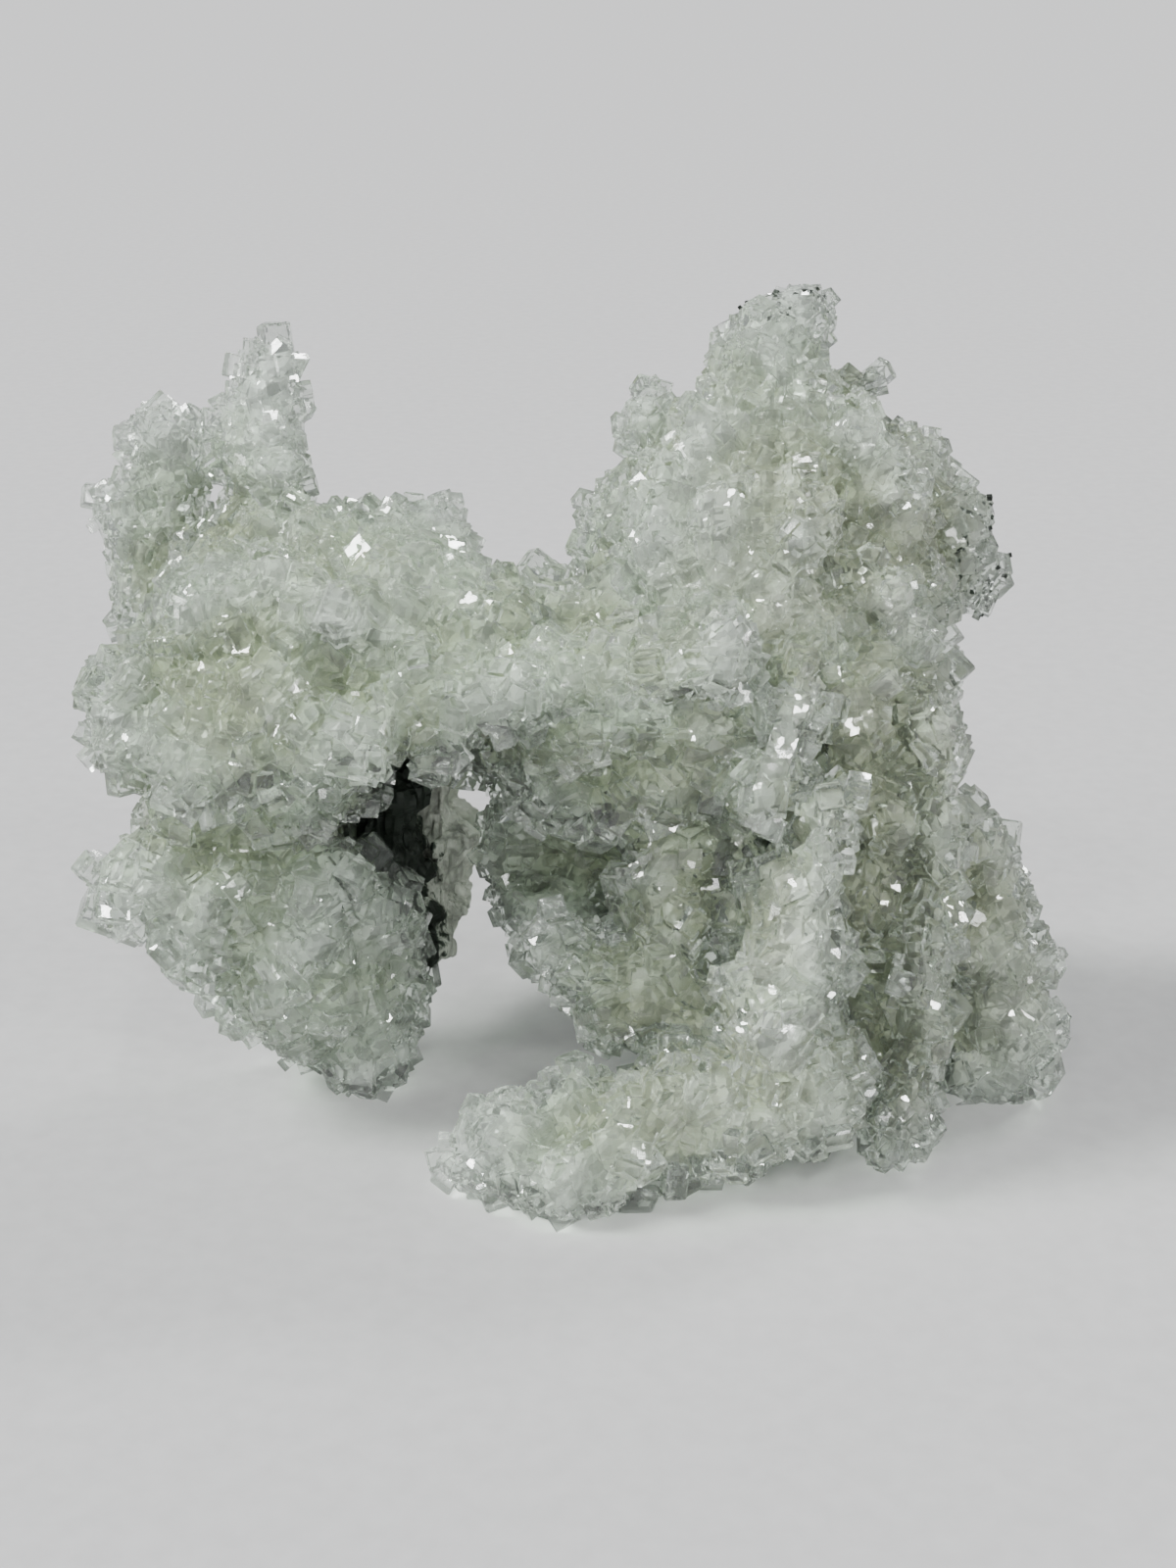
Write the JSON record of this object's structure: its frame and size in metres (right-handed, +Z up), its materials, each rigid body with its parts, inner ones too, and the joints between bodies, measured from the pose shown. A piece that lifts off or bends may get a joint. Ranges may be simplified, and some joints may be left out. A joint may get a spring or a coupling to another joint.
{
  "type": "prehnite pseudomorph specimen",
  "caption": "Pale green translucent prehnite in branching, crystal-crusted casts that arch over a small cave and rest on flat feet, with a dark remnant of matrix.",
  "frame": {"origin": "on the surface that the specimen rests on, under the middle of its box", "axes": "+Z up, the best face towards -Y, +X to the right of a viewer who looks at that face"},
  "size_m": [0.1028, 0.0722, 0.0801],
  "materials": {
    "prehnite": "translucent milky pale green with glassy crystal faces",
    "matrix": "dark green-black, fibrous and dull"
  },
  "bodies": {
    "root": {"tall_fan": "prehnite", "left_roll": "prehnite", "left_pod": "prehnite", "saddle": "prehnite", "tower": "prehnite", "columns": "prehnite", "front_finger": "prehnite", "right_wing": "prehnite", "middle_lobe": "prehnite", "cave_wall": "prehnite", "rear_blade": "prehnite", "matrix_remnant": "matrix"}
  },
  "joints": []
}
